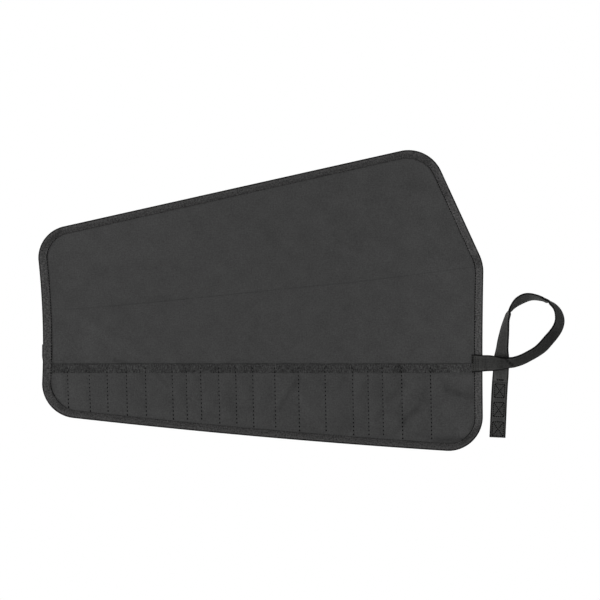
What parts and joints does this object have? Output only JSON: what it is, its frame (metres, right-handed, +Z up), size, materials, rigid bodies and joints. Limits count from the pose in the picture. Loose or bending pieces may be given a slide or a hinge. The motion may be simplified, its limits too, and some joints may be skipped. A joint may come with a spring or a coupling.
{
  "type": "tool pouch",
  "caption": "Roll-up canvas tool pouch laid open: a row of stitched hollow pockets below a fold-over flap, taped edges and a webbing tie strap with a hook patch.",
  "frame": {"origin": "centre of the underside of the panel's box, on the surface that the open pouch lies on; the strap is not counted", "axes": "+X along the pouch towards the strap, +Y from the pockets towards the flap, +Z up from the surface"},
  "size_m": [0.7026, 0.4009, 0.0259],
  "materials": {
    "back_canvas": "black woven canvas, matte",
    "pocket_canvas": "black woven canvas, matte",
    "mouth_tape": "black ribbed binding tape",
    "edge_tape": "black ribbed binding tape",
    "strap_webbing": "black ribbed webbing",
    "hook_tape": "black hook tape with box stitches"
  },
  "bodies": {
    "root": {"back_panel": "back_canvas", "pocket_panel": "pocket_canvas", "pocket_band": "mouth_tape", "edge_binding": "edge_tape", "tie_strap": "strap_webbing", "hook_patch": "hook_tape"}
  },
  "joints": []
}
